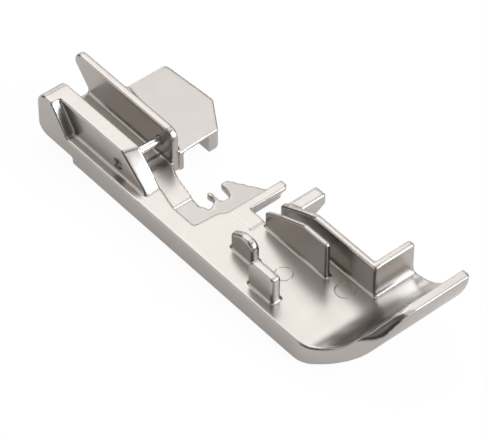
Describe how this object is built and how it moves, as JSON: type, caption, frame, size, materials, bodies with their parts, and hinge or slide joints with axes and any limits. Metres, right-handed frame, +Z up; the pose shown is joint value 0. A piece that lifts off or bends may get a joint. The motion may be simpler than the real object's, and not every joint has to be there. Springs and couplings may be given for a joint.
{
  "type": "sewing machine presser foot",
  "caption": "Clip-on overlock foot with curled toe, upright bead guide walls, stitch finger, needle fork, bead tunnel and a cross pin between two ears for the holder.",
  "frame": {"origin": "on the sole, straight below the axis of the holder pin, halfway across the width of the foot", "axes": "+Y from the toe to the heel, +X to the sewer's right, +Z up from the sole"},
  "size_m": [0.0183, 0.0624, 0.0103],
  "materials": {
    "casting": "satin nickel plate over a fine casting",
    "pin": "ground and polished steel"
  },
  "bodies": {
    "root": {"foot_casting": "casting", "cross_pin": "pin"}
  },
  "joints": []
}
